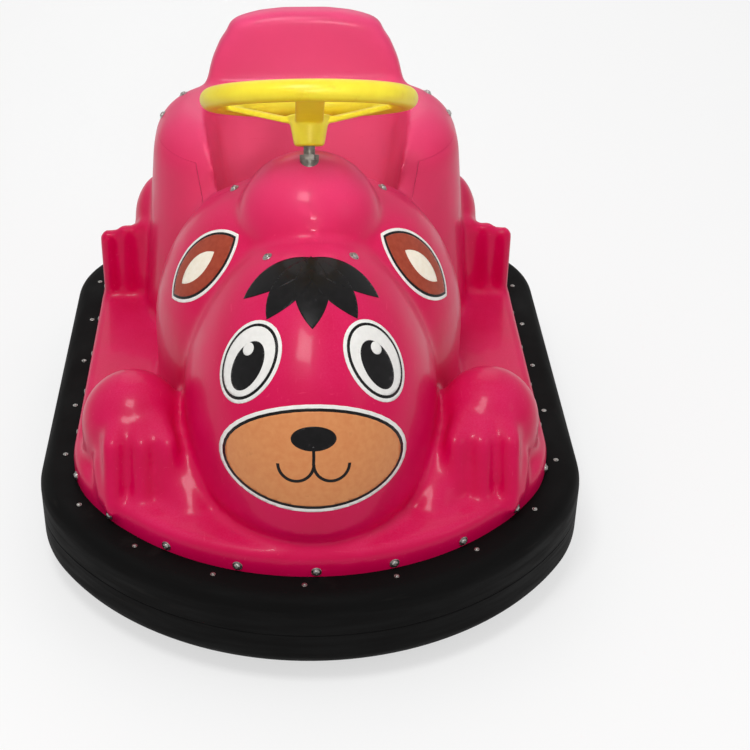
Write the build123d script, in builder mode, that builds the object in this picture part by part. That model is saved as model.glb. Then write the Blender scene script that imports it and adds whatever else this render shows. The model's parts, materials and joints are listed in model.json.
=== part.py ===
"""Child's battery bumper car: a fibreglass animal body on a steel chassis inside a rubber ring.

Millimetres, +Z up, the front of the car towards -Y, origin on the floor under the middle of the ring.
"""
from build123d import *
import os
from math import atan2, cos, degrees, radians, sin, sqrt, tan

# ---- overall plan ----
overall_length = 1140
overall_width = 900
nose_fullness = 44                 # how far the nose arc's radius exceeds the half width
front_corner_radius = 253
tail_radius = 1044
rear_corner_radius = 180
fit_gap = 0.3                      # between curved faces that seat on each other
cutter_reach = 1                   # how far a cutter runs past the face it cuts through

# ---- rubber ring and the steel hoop behind it ----
bumper_bottom_z = 38
bumper_top_z = 170
bumper_depth = 66
bumper_edge_radius = 26
hoop_wall = 5
hoop_bottom_z = 62

# ---- fibreglass body ----
body_wall = 8
deck_z = 212
deck_edge_radius = 18
head_from_nose = 362
head_half_width = 205
head_half_length = 300
head_shoulder_z = 300
head_top_z = 575
head_crown_radius = 150
hood_from_nose = 545
hood_radius = 262
hood_shoulder_z = 332
hood_top_z = 600
hood_crown_radius = 240
boss_from_nose = 485
boss_z = 554
boss_radius = 109
crease_radius = 12                 # where head, hood and deck run into each other
rump_half_width = 300
rump_front_from_tail = 510
rump_rear_from_tail = 112
rump_top_z = 592
rump_draft = 4                     # degrees, drawing in all the way up
rump_corner_radius = 165
rump_edge_radius = 58
leg_from_side = 158
leg_from_nose = 330
leg_radius = 74
leg_shoulder_z = 276
leg_top_z = 354
leg_crown_drop = 12                # how much tighter a leg's crown is than its side
toe_offsets = (12, -27, -66)       # from the leg's middle, outwards
toe_width = 34
toe_edge_radius = 16
toe_knuckle_radius = 17
toe_front_from_nose = 183
toe_knuckle_z = 298
toe_lean = 22
toe_root_gap = 30                  # the toes run up to here, ahead of the leg's middle
toe_root_drop = 14
thigh_x = 258
thigh_from_tail = 308
thigh_radius = 68
thigh_shoulder_z = 345
thigh_top_z = 430
foot_from_side = 116
foot_front_from_tail = 334
foot_length = 160
foot_top_z = 338
foot_heel_z = 246
foot_toe_width = 38
foot_toe_pitch = 36
foot_edge_radius = 18
foot_knuckle_radius = 19
seam_z = 545                       # where the seat moulding sits on the body, at the haunches' front
seam_rise = 4.5                    # degrees, rising towards the tail
seam_start_gap = 10

# ---- cockpit tub ----
tub_wall = 6
footwell_half_width = 128
footwell_front_from_nose = 398
footwell_roof_z = 468
footwell_rear_from_tail = 470
cockpit_roof_z = 540
seat_z = 288
seat_front_from_tail = 508
seat_rear_from_tail = 285
lip_from_nose = 592              # the hood's lip, where the cockpit starts
seat_half_width = 116
knee_z = 424
knee_half_width = 142
lip_z = 560
lip_half_width = 164
cuff_z = 600
cuff_half_width = 178
cuff_reach = 12                    # ahead of the lip
mouth_z = 640
mouth_half_width = 214
mouth_reach = 42
bowl_corner_radius = 60
backrest_lean = 8                  # degrees from upright
backrest_top_z = 733
backrest_step = 8                  # the slab starts this far behind the bowl
backrest_root_depth = 162          # below the top of the haunches
backrest_thickness = 66
backrest_root_half_width = 214
backrest_waist_z = 640
backrest_waist_half_width = 168
backrest_top_half_width = 145
backrest_crown = 18
backrest_waist_radius = 60
backrest_corner_radius = 34
backrest_edge_radius = 22

# ---- chassis ----
rail_x = 172
rail_width = 40
rail_height = 30
rail_wall = 3
rail_bottom_z = 98
crossmember_width = 40
middle_crossmember_from_nose = 460
rear_crossmember_from_tail = 345
pan_thickness = 4
wheel_well_gap = 16
battery_width = 120
battery_length = 190
battery_height = 135
battery_gap = 6
battery_corner_radius = 4

# ---- wheels ----
wheel_radius = 80
tyre_width = 46
tyre_section = 22
tyre_edge_radius = 9
rim_width = 42
rim_web = 8
hub_radius = 19
collar_radius = 15
axle_radius = 8
running_gap = 0.05
running_clearance = 0.5
rear_axle_from_tail = 240
wheel_from_rail = 90
wheel_side_gap = 6
hanger_width = 24
hanger_wall = 8
nut_width = 10
nut_radius = 14
collar_width = 10

# ---- drive fork ----
fork_top_gap = 7
fork_crown_thickness = 8
fork_blade_thickness = 6
fork_blade_width = 44
thrust_washer_radius = 48
thrust_washer_thickness = 6
bridge_thickness = 6
bridge_length = 120
stem_radius = 15
stem_nut_radius = 23
stem_stand_out = 24
gear_case_radius = 46
gear_case_thickness = 20
motor_radius = 34
motor_length = 68

# ---- steering ----
steering_lean = 29                 # degrees, top of the column towards the driver
steering_wheel_from_nose = 521
steering_wheel_z = 744
steering_rim_radius = 154
steering_grip_radius = 17
steering_dish = 26
steering_hub_height = 47
steering_hub_top_radius = 31
steering_hub_base_radius = 24
steering_hub_cap = 6               # left solid above the shaft
spoke_turns = (270, 30, 150)       # one towards the nose, two towards the driver
spoke_width = 46
spoke_thickness = 11
spoke_rise_gap = 6                 # from the hub's edge to where a spoke starts to rise
steering_shaft_radius = 9
shaft_gap = 0.5
shaft_end_gap = 14
shaft_nut_radius = 15
shaft_nut_width = 8
column_radius = 15
column_foot_z = 268
column_drop = 95                   # from the rim's plane down to the column's top
joint_z = 250                      # where the column's line meets the fork's
stay_z = 296
stay_rise = 14
stay_depth = 24
stay_half_width = 40
stay_wall = 10
pedal_x = -60                      # under the driver's right foot
pedal_gap = 22                     # from the footwell's front wall
pedal_width = 70
pedal_share = 0.61                 # of the footwell's floor behind its front edge
pedal_rise = 60
pedal_sole = 8

# ---- places that follow from the sizes above ----
front_y = -overall_length / 2      # head, hood and steering keep their distance from the nose,
rear_y = overall_length / 2        # seat, haunches and axle theirs from the tail
head_y = front_y + head_from_nose
hood_y = front_y + hood_from_nose
boss_y = front_y + boss_from_nose
rump_front_y = rear_y - rump_front_from_tail
rump_rear_y = rear_y - rump_rear_from_tail
leg_y = front_y + leg_from_nose
toe_front_y = front_y + toe_front_from_nose
thigh_y = rear_y - thigh_from_tail
foot_front_y = rear_y - foot_front_from_tail
footwell_front_y = front_y + footwell_front_from_nose
footwell_rear_y = rear_y - footwell_rear_from_tail
seat_front_y = rear_y - seat_front_from_tail
seat_rear_y = rear_y - seat_rear_from_tail
lip_y = front_y + lip_from_nose
middle_crossmember_y = front_y + middle_crossmember_from_nose
rear_crossmember_y = rear_y - rear_crossmember_from_tail
rear_axle_y = rear_y - rear_axle_from_tail
steering_wheel_y = front_y + steering_wheel_from_nose
leg_x = overall_width / 2 - leg_from_side
foot_x = overall_width / 2 - foot_from_side
rear_wheel_x = rail_x + wheel_from_rail
pedal_y = footwell_front_y + pedal_gap
pedal_length = (seat_front_y - pedal_y) * pedal_share
bowl_levels = (                    # height, half width, front
    (seat_z, seat_half_width, seat_front_y),
    (knee_z, knee_half_width, (seat_front_y + lip_y) / 2),
    (lip_z, lip_half_width, lip_y),
    (cuff_z, cuff_half_width, lip_y - cuff_reach),
    (mouth_z, mouth_half_width, lip_y - mouth_reach),
)
rail_top_z = rail_bottom_z + rail_height
pan_top_z = rail_top_z + pan_thickness
flange_inset = bumper_depth - body_wall
inner_inset = bumper_depth + hoop_wall
footwell_z = pan_top_z + tub_wall
lean = radians(steering_lean)
column_axis = Plane(origin=(0, steering_wheel_y, steering_wheel_z), x_dir=(1, 0, 0), z_dir=(0, sin(lean), cos(lean)))
steer_y = steering_wheel_y - (steering_wheel_z - joint_z) * tan(lean)
column_length = (steering_wheel_z - joint_z) / cos(lean)


def plan_outline(inset):
    """Draws the plan of the car, brought in by inset: nose, corners, sides and tail, all tangent."""
    half_width = overall_width / 2
    nose_radius = half_width + nose_fullness
    nose_centre_y = front_y + nose_radius
    corner_x = half_width - front_corner_radius
    corner_y = nose_centre_y - sqrt((nose_radius - front_corner_radius) ** 2 - corner_x**2)
    tail_centre_y = rear_y - tail_radius
    rear_corner_x = half_width - rear_corner_radius
    side_end_y = tail_centre_y + sqrt((tail_radius - rear_corner_radius) ** 2 - rear_corner_x**2)
    front_angle = degrees(atan2(corner_y - nose_centre_y, corner_x))
    rear_angle = degrees(atan2(side_end_y - tail_centre_y, rear_corner_x))
    with BuildSketch(Plane.XY) as plan:
        with BuildLine():
            CenterArc((0, nose_centre_y), nose_radius - inset, -90, 90 + front_angle)
            CenterArc((corner_x, corner_y), front_corner_radius - inset, front_angle, -front_angle)
            Line((half_width - inset, corner_y), (half_width - inset, side_end_y))
            CenterArc((rear_corner_x, side_end_y), rear_corner_radius - inset, 0, rear_angle)
            CenterArc((0, tail_centre_y), tail_radius - inset, rear_angle, 90 - rear_angle)
            mirror(about=Plane.YZ)
        make_face()
    return plan.sketch


def plan_prism(inset, bottom_z, top_z):
    """Stands the plan of the car up between two heights."""
    return extrude(Pos(0, 0, bottom_z) * plan_outline(inset), amount=top_z - bottom_z)


def dome(centre, radius, bottom_z, shoulder_z, top_z, crown_radius):
    """Revolves a post with a domed top: a tall side arc meets a tighter crown arc, both tangent."""
    rise = top_z - shoulder_z
    side_radius = (radius**2 + (rise - crown_radius) ** 2 - crown_radius**2) / (2 * (radius - crown_radius))
    turn = degrees(atan2(rise - crown_radius, side_radius - radius))
    with BuildPart() as post:
        with BuildSketch(Plane(origin=(*centre, 0), x_dir=(1, 0, 0), z_dir=(0, -1, 0))):
            with BuildLine():
                Polyline((0, top_z), (0, bottom_z), (radius, bottom_z), (radius, shoulder_z))
                CenterArc((radius - side_radius, shoulder_z), side_radius, 0, turn)
                CenterArc((0, top_z - crown_radius), crown_radius, turn, 90 - turn)
            make_face()
        revolve(axis=Axis((*centre, 0), (0, 0, 1)))
    return post.part


def ridge(profile, x, width, edge_radius, corner_radius):
    """A rounded ridge lying fore and aft at x: a side profile of (y, z) points, given a width."""
    with BuildPart() as form:
        with BuildSketch(Plane.YZ.offset(x - width / 2)) as side_view:
            with BuildLine():
                Polyline(*profile, close=True)
            make_face()
            fillet(side_view.vertices().group_by(Axis.Y)[1:], corner_radius)
        extrude(amount=width)
        side_edges = form.faces().filter_by(Axis.X).edges()
        fillet(side_edges - form.faces().sort_by(Axis.Z)[0].edges(), edge_radius)
    return form.part


def rump_form(inset, bottom_z):
    """The haunches: a rounded block that draws in towards its top."""
    length = rump_rear_y - rump_front_y - 2 * inset
    width = 2 * (rump_half_width - inset)
    with BuildPart() as rump:
        for height in (bottom_z, rump_top_z - inset):
            draw_in = (height - rail_bottom_z) * tan(radians(rump_draft))
            with BuildSketch(Plane((0, (rump_front_y + rump_rear_y) / 2, height))):
                RectangleRounded(width - 2 * draw_in, length - 2 * draw_in, rump_corner_radius - inset - draw_in)
        loft(ruled=True)
        fillet(rump.faces().sort_by(Axis.Z)[-1].edges(), rump_edge_radius - inset)
    return rump.part


def core_form(inset, bottom_z):
    """Deck, head and hood with every face brought in by inset, and the creases between them."""
    deck = plan_prism(flange_inset + inset, bottom_z, deck_z - inset)
    deck = fillet(deck.faces().sort_by(Axis.Z)[-1].edges(), deck_edge_radius - inset)
    stretch = (head_half_length - inset) / (head_half_width - inset)
    head = dome((0, 0), head_half_width - inset, bottom_z, head_shoulder_z, head_top_z - inset,
                head_crown_radius - inset)
    hood = dome((0, hood_y), hood_radius - inset, bottom_z, hood_shoulder_z, hood_top_z - inset,
                hood_crown_radius - inset)
    core = deck + Pos(0, head_y, 0) * scale(head, by=(1, stretch, 1)) + hood
    creases = core.edges().filter_by(lambda edge: edge.geom_type not in (GeomType.LINE, GeomType.CIRCLE))
    return core, creases


def body_form(inset, bottom_z):
    """The outside of the body, with every face brought in by inset."""
    core, creases = core_form(inset, bottom_z)
    pieces = [core if inset else fillet(creases, crease_radius)]
    pieces.append(Pos(0, boss_y, boss_z) * Sphere(boss_radius - inset))
    pieces.append(rump_form(inset, bottom_z))
    pieces.append(backrest_form(inset))
    for side in (-1, 1):
        pieces.append(dome((side * leg_x, leg_y), leg_radius - inset, bottom_z, leg_shoulder_z,
                           leg_top_z - inset, leg_radius - leg_crown_drop - inset))
        pieces.append(dome((side * thigh_x, thigh_y), thigh_radius - inset, bottom_z, thigh_shoulder_z,
                           thigh_top_z - inset, thigh_radius - leg_crown_drop - inset))
    return pieces[0].fuse(*pieces[1:])


def paw_forms():
    """The toes of both front paws and both hind feet."""
    toe_profile = ((toe_front_y, bumper_top_z), (toe_front_y + toe_lean, toe_knuckle_z),
                   (leg_y - toe_root_gap, leg_top_z - toe_root_drop), (leg_y, bumper_top_z))
    foot_profile = ((foot_front_y, bumper_top_z), (foot_front_y, foot_top_z),
                    (foot_front_y + foot_length, foot_heel_z), (foot_front_y + foot_length, bumper_top_z))
    toes = []
    for side in (-1, 1):
        for offset_x in toe_offsets:
            toes.append(ridge(toe_profile, side * (leg_x + offset_x), toe_width, toe_edge_radius, toe_knuckle_radius))
        for place in (-1, 0, 1):
            toes.append(ridge(foot_profile, side * foot_x + place * foot_toe_pitch, foot_toe_width,
                              foot_edge_radius, foot_knuckle_radius))
    return toes


def backrest_form(inset):
    """The tapering, crowned slab of the backrest, leaning back."""
    foot_z = rump_top_z - backrest_root_depth
    foot_y = seat_rear_y + tub_wall + backrest_step + (foot_z - seat_z) * tan(radians(backrest_lean))
    slope = Plane(origin=(0, foot_y, foot_z), x_dir=(1, 0, 0),
                  z_dir=(0, -cos(radians(backrest_lean)), sin(radians(backrest_lean))))
    height = (backrest_top_z - foot_z) / cos(radians(backrest_lean)) - inset
    waist_height = (backrest_waist_z - foot_z) / cos(radians(backrest_lean))
    foot = backrest_root_half_width - inset
    waist = backrest_waist_half_width - inset
    top = backrest_top_half_width - inset
    with BuildPart() as slab:
        with BuildSketch(slope.offset(-inset)) as outline:
            with BuildLine():
                Polyline((-top, height - backrest_crown), (-waist, waist_height), (-foot, inset), (foot, inset),
                         (waist, waist_height), (top, height - backrest_crown))
                ThreePointArc((top, height - backrest_crown), (0, height), (-top, height - backrest_crown))
            make_face()
            fillet(outline.vertices().group_by(Axis.Y)[1], backrest_waist_radius)
            fillet(outline.vertices().group_by(Axis.Y)[-1], backrest_corner_radius - inset)
        extrude(amount=-(backrest_thickness - 2 * inset))
        fillet(slab.edges() - slab.faces().sort_by(Axis.Z)[0].edges(), backrest_edge_radius - inset)
    return slab.part


def cockpit_form(grow):
    """The space for the driver, let out by grow: a flaring bowl over the seat and a footwell ahead of it."""
    with BuildPart() as bowl:
        for height, half_width, front in bowl_levels:
            rear = seat_rear_y + (height - seat_z) * tan(radians(backrest_lean))
            floor_drop = grow if height == seat_z else 0
            with BuildSketch(Plane((0, (front + rear) / 2, height - floor_drop))):
                RectangleRounded(2 * (half_width + grow), rear - front + 2 * grow, bowl_corner_radius + grow)
        loft(ruled=True)
    with BuildPart() as footwell:
        with BuildSketch(Plane.YZ):
            Polygon((footwell_front_y, footwell_z), (seat_front_y, footwell_z), (seat_front_y, seat_z),
                    (footwell_rear_y, seat_z), (footwell_rear_y, cockpit_roof_z),
                    (footwell_front_y, footwell_roof_z), align=None)
            offset(amount=grow, kind=Kind.INTERSECTION)
        extrude(amount=footwell_half_width + grow, both=True)
    return bowl.part + footwell.part


def seat_zone(gap):
    """Everything above the seam between the two mouldings, which starts just ahead of the haunches."""
    start_y = rump_front_y - seam_start_gap
    rise = (rear_y - start_y) * tan(radians(seam_rise))
    with BuildPart() as zone:
        with BuildSketch(Plane.YZ):
            Polygon((start_y, seam_z - gap), (rear_y, seam_z + rise - gap), (rear_y, 2 * backrest_top_z),
                    (start_y, 2 * backrest_top_z), align=None)
        extrude(amount=overall_width, both=True)
    return zone.part


def write(piece, label):
    """Names a finished piece and writes it out."""
    piece.part.label = label
    export_step(piece.part, f"parts/{label}.step")


os.makedirs("parts", exist_ok=True)

# ---- ring, hoop and body ----
with BuildPart() as rubber_ring:
    add(plan_prism(0, bumper_bottom_z, bumper_top_z))
    fillet(rubber_ring.faces().filter_by(Axis.Z).edges(), bumper_edge_radius)
    add(plan_prism(bumper_depth, bumper_bottom_z - cutter_reach, bumper_top_z + cutter_reach), mode=Mode.SUBTRACT)
write(rubber_ring, "rubber_ring")

with BuildPart() as bumper_hoop:
    add(plan_prism(bumper_depth, hoop_bottom_z, deck_z - deck_edge_radius))
    add(plan_prism(inner_inset, hoop_bottom_z - cutter_reach, deck_z), mode=Mode.SUBTRACT)
write(bumper_hoop, "bumper_hoop")

body_outside = body_form(0, bumper_top_z).fuse(*paw_forms())
body_inside = body_form(body_wall, rail_bottom_z)
cockpit = cockpit_form(0)
tub_outside = cockpit_form(tub_wall)
tub_opening = cockpit_form(tub_wall + fit_gap)
skin = body_outside - body_inside
above_seam = seat_zone(0)
with BuildPart() as body_shell:
    add(skin)
    add(tub_opening, mode=Mode.SUBTRACT)
    add(seat_zone(fit_gap), mode=Mode.SUBTRACT)
    with Locations(column_axis.location):
        Cylinder(column_radius + fit_gap, 2 * column_length, mode=Mode.SUBTRACT)
write(body_shell, "body_shell")

body_reach = body_form(0, pan_top_z)
with BuildPart() as seat_tub:
    add(tub_outside)
    add(body_reach, mode=Mode.INTERSECT)
    add(skin & above_seam)
    add(cockpit, mode=Mode.SUBTRACT)
write(seat_tub, "seat_tub")

# ---- chassis ----
hoop_inside = plan_prism(inner_inset, 0, deck_z)
for name, side in (("left", 1), ("right", -1)):
    with BuildPart() as rail:
        with BuildSketch(Plane.XZ):
            with Locations((side * rail_x, rail_bottom_z + rail_height / 2)):
                Rectangle(rail_width, rail_height)
                Rectangle(rail_width - 2 * rail_wall, rail_height - 2 * rail_wall, mode=Mode.SUBTRACT)
        extrude(amount=overall_length, both=True)
        add(hoop_inside, mode=Mode.INTERSECT)
    write(rail, f"rail_{name}")

for name, place in (("middle", middle_crossmember_y), ("rear", rear_crossmember_y)):
    with BuildPart() as crossmember:
        with BuildSketch(Plane.YZ):
            with Locations((place, rail_bottom_z - rail_height / 2)):
                Rectangle(crossmember_width, rail_height)
                Rectangle(crossmember_width - 2 * rail_wall, rail_height - 2 * rail_wall, mode=Mode.SUBTRACT)
        extrude(amount=overall_width, both=True)
        add(hoop_inside, mode=Mode.INTERSECT)
    write(crossmember, f"crossmember_{name}")

wheel_well_half = wheel_radius + wheel_well_gap
pan_plate = plan_prism(inner_inset, rail_top_z, pan_top_z)
with BuildPart() as floor_pan:
    add(pan_plate)
    with BuildSketch(Plane.XY.offset(rail_top_z)):
        with Locations((0, steer_y)):
            Circle(rail_x - rail_width / 2)
        with Locations((-rear_wheel_x, rear_axle_y), (rear_wheel_x, rear_axle_y)):
            Rectangle(tyre_width + 2 * wheel_well_gap, 2 * wheel_well_half)
    extrude(amount=pan_thickness, mode=Mode.SUBTRACT)
write(floor_pan, "floor_pan")

for name, side in (("left", 1), ("right", -1)):
    with BuildPart() as battery:
        with BuildSketch(Plane((side * (battery_width + battery_gap) / 2, seat_front_y + battery_gap
                                + battery_length / 2, pan_top_z))):
            RectangleRounded(battery_width, battery_length, battery_corner_radius)
        extrude(amount=battery_height)
    write(battery, f"battery_{name}")

with BuildPart() as foot_pedal:
    with BuildSketch(Plane.YZ.offset(pedal_x - pedal_width / 2)):
        Polygon((pedal_y, footwell_z), (pedal_y + pedal_length, footwell_z),
                (pedal_y + pedal_length, footwell_z + pedal_sole), (pedal_y, footwell_z + pedal_rise), align=None)
    extrude(amount=pedal_width)
write(foot_pedal, "foot_pedal")

# ---- wheels ----
wheel_places = (                   # name, x, y
    ("drive", 0, steer_y),
    ("rear_left", rear_wheel_x, rear_axle_y),
    ("rear_right", -rear_wheel_x, rear_axle_y),
)
rim_radius = wheel_radius - tyre_section
hub_width = rim_width + 2 * wheel_side_gap
for name, x, y in wheel_places:
    hub = Plane(origin=(x, y, wheel_radius), x_dir=(1, 0, 0), z_dir=(0, 0, 1))
    spin_axis = Axis((x, y, wheel_radius), (1, 0, 0))
    with BuildPart() as tyre:
        with BuildSketch(hub) as section:
            with Locations((0, wheel_radius - tyre_section / 2)):
                Rectangle(tyre_width, tyre_section)
            fillet(section.vertices().group_by(Axis.Y)[-1], tyre_edge_radius)
        revolve(axis=spin_axis)
    write(tyre, f"{name}_tyre")
    with BuildPart() as rim:
        with BuildSketch(hub):
            with Locations((0, rim_radius - rim_web / 2)):
                Rectangle(rim_width, rim_web)
            with Locations((0, rim_radius / 2)):
                Rectangle(rim_web, rim_radius)
            with Locations((0, hub_radius / 2)):
                Rectangle(hub_width, hub_radius)
        revolve(axis=spin_axis)
        with Locations(Plane(origin=(x, y, wheel_radius), z_dir=(1, 0, 0)).location):
            Cylinder(axle_radius + running_gap, 2 * hub_width, mode=Mode.SUBTRACT)
    write(rim, f"{name}_rim")

# ---- rear axle ----
hub_inner_x = rear_wheel_x - hub_width / 2 - running_clearance
hub_outer_x = rear_wheel_x + hub_width / 2 + running_clearance
with BuildPart() as rear_axle:
    with BuildSketch(Plane.YZ):
        with Locations((rear_axle_y, wheel_radius)):
            Circle(axle_radius)
    extrude(amount=hub_outer_x + nut_width, both=True)
    with BuildSketch(Plane.YZ.offset(hub_inner_x - collar_width), Plane.YZ.offset(-hub_inner_x)):
        with Locations((rear_axle_y, wheel_radius)):
            Circle(collar_radius)
    extrude(amount=collar_width)
write(rear_axle, "rear_axle")

for name, side in (("left", 1), ("right", -1)):
    with BuildPart() as axle_nut:
        with BuildSketch(Plane.YZ.offset(hub_outer_x if side > 0 else -hub_outer_x - nut_width)):
            with Locations((rear_axle_y, wheel_radius)):
                RegularPolygon(nut_radius, 6)
                Circle(axle_radius, mode=Mode.SUBTRACT)
        extrude(amount=nut_width)
    write(axle_nut, f"axle_nut_{name}")
    with BuildPart() as hanger:
        with BuildSketch(Plane.YZ.offset(side * rail_x - hanger_width / 2)):
            with Locations((rear_axle_y, wheel_radius)):
                Circle(axle_radius + hanger_wall)
            with Locations((rear_axle_y, (wheel_radius + rail_bottom_z) / 2)):
                Rectangle(2 * (axle_radius + hanger_wall), rail_bottom_z - wheel_radius)
            with Locations((rear_axle_y, wheel_radius)):
                Circle(axle_radius, mode=Mode.SUBTRACT)
        extrude(amount=hanger_width)
    write(hanger, f"axle_hanger_{name}")

# ---- drive fork ----
crown_z = 2 * wheel_radius + fork_top_gap
washer_z = crown_z + fork_crown_thickness
bridge_z = washer_z + thrust_washer_thickness
bridge_top_z = bridge_z + bridge_thickness
blade_x = hub_width / 2 + running_clearance
gear_case_x = -blade_x - fork_blade_thickness
with BuildPart() as steering_fork:
    with BuildSketch(Plane((0, steer_y, crown_z))):
        Circle(thrust_washer_radius)
        Rectangle(2 * (blade_x + fork_blade_thickness), fork_blade_width)
    extrude(amount=fork_crown_thickness)
    for blade_start in (blade_x, -blade_x - fork_blade_thickness):
        with BuildSketch(Plane.YZ.offset(blade_start)):
            with Locations((steer_y, wheel_radius)):
                Circle(fork_blade_width / 2)
            with Locations((steer_y, (wheel_radius + crown_z) / 2)):
                Rectangle(fork_blade_width, crown_z - wheel_radius)
            with Locations((steer_y, wheel_radius)):
                Circle(axle_radius + running_gap, mode=Mode.SUBTRACT)
        extrude(amount=fork_blade_thickness)
    with BuildSketch(Plane((0, steer_y, washer_z))):
        Circle(stem_radius)
    extrude(amount=thrust_washer_thickness + bridge_thickness + stem_stand_out)
write(steering_fork, "steering_fork")

with BuildPart() as thrust_washer:
    with BuildSketch(Plane((0, steer_y, washer_z + running_gap))):
        Circle(thrust_washer_radius)
        Circle(stem_radius + running_gap, mode=Mode.SUBTRACT)
    extrude(amount=thrust_washer_thickness - running_gap)
write(thrust_washer, "thrust_washer")

with BuildPart() as stem_nut:
    with BuildSketch(Plane((0, steer_y, bridge_top_z + running_clearance))):
        RegularPolygon(stem_nut_radius, 6)
        Circle(stem_radius, mode=Mode.SUBTRACT)
    extrude(amount=nut_width)
write(stem_nut, "stem_nut")

with BuildPart() as steering_bridge:
    with BuildSketch(Plane((0, steer_y, bridge_z))):
        Rectangle(2 * rail_x + rail_width, bridge_length)
        Circle(stem_radius + running_gap, mode=Mode.SUBTRACT)
    extrude(amount=bridge_thickness)
    with BuildSketch(Plane((0, steer_y, rail_top_z + pan_thickness))):
        with Locations((-rail_x, 0), (rail_x, 0)):
            Rectangle(rail_width, bridge_length)
            Rectangle(rail_width - 2 * bridge_thickness, bridge_length, mode=Mode.SUBTRACT)
    extrude(amount=bridge_z - rail_top_z - pan_thickness)
write(steering_bridge, "steering_bridge")

with BuildPart() as drive_axle:
    with BuildSketch(Plane.YZ.offset(gear_case_x - gear_case_thickness / 2)):
        with Locations((steer_y, wheel_radius)):
            Circle(axle_radius)
    extrude(amount=2 * blade_x + 2 * fork_blade_thickness + gear_case_thickness / 2 + nut_width)
write(drive_axle, "drive_axle")

with BuildPart() as gear_case:
    with BuildSketch(Plane.YZ.offset(gear_case_x - gear_case_thickness)):
        with Locations((steer_y, wheel_radius)):
            Circle(gear_case_radius)
    extrude(amount=gear_case_thickness)
    with BuildSketch(Plane.YZ.offset(gear_case_x)):
        with Locations((steer_y, wheel_radius)):
            Circle(axle_radius + running_gap)
    extrude(amount=-gear_case_thickness / 2 - running_clearance, mode=Mode.SUBTRACT)
write(gear_case, "gear_case")

with BuildPart() as drive_motor:
    with BuildSketch(Plane.YZ.offset(gear_case_x - gear_case_thickness - motor_length)):
        with Locations((steer_y, wheel_radius)):
            Circle(motor_radius)
    extrude(amount=motor_length)
write(drive_motor, "drive_motor")

# ---- steering column ----
column_top = column_axis.offset(-column_drop)
foot_along = (steering_wheel_z - column_foot_z) / cos(lean)
with BuildPart() as column_tube:
    with BuildSketch(column_axis.offset(-foot_along)):
        Circle(column_radius)
        Circle(steering_shaft_radius + shaft_gap, mode=Mode.SUBTRACT)
    extrude(amount=foot_along - column_drop)
write(column_tube, "column_tube")

stay_y = steering_wheel_y - (steering_wheel_z - stay_z) * tan(lean)
with BuildPart() as column_stay:
    with BuildSketch(Plane.XZ.offset(-stay_y - stay_depth / 2)):
        with Locations((0, (bridge_top_z + stay_z + stay_rise) / 2)):
            Rectangle(2 * (stay_half_width + stay_wall), stay_z + stay_rise - bridge_top_z)
        with Locations((0, (bridge_top_z + stay_z - stay_rise) / 2)):
            Rectangle(2 * stay_half_width, stay_z - stay_rise - bridge_top_z, mode=Mode.SUBTRACT)
    extrude(amount=stay_depth)
    with Locations(column_axis.location):
        Cylinder(column_radius, 2 * column_length, mode=Mode.SUBTRACT)
write(column_stay, "column_stay")

with BuildPart() as steering_shaft:
    with BuildSketch(column_axis.offset(-foot_along - shaft_end_gap)):
        Circle(steering_shaft_radius)
    extrude(amount=foot_along + shaft_end_gap - steering_dish - steering_hub_cap)
    with BuildSketch(column_axis.offset(-column_drop + running_clearance)):
        RegularPolygon(shaft_nut_radius, 6)
    extrude(amount=shaft_nut_width)
write(steering_shaft, "steering_shaft")

hub_base = column_axis.offset(-steering_dish - steering_hub_height)
with BuildPart() as steering_wheel:
    with BuildSketch(Plane(origin=column_axis.origin, x_dir=(1, 0, 0), z_dir=(0, -cos(lean), sin(lean)))):
        with Locations((steering_rim_radius, 0)):
            Circle(steering_grip_radius)
    revolve(axis=Axis(column_axis.origin, column_axis.z_dir))
    with BuildSketch(hub_base):
        Circle(steering_hub_base_radius)
    with BuildSketch(column_axis.offset(-steering_dish)):
        Circle(steering_hub_top_radius)
    loft()
    for turn in spoke_turns:
        with BuildSketch(Plane(column_axis.location * Rot(0, 0, turn) * Rot(90, 0, 0))):
            Polygon((0, -steering_dish), (0, -steering_dish - spoke_thickness),
                    (steering_hub_top_radius, -steering_dish - spoke_thickness),
                    (steering_rim_radius, -spoke_thickness), (steering_rim_radius, 0),
                    (steering_hub_top_radius + spoke_rise_gap, -steering_dish), align=None)
        extrude(amount=spoke_width / 2, both=True)
    with BuildSketch(hub_base):
        Circle(steering_shaft_radius)
    extrude(amount=steering_hub_height - steering_hub_cap, mode=Mode.SUBTRACT)
write(steering_wheel, "steering_wheel")
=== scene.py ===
import json
from math import atan2, cos, degrees, pi, radians, sin, sqrt, tan

import bmesh
import bpy
from mathutils import Matrix, Vector
from mathutils.bvhtree import BVHTree

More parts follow.
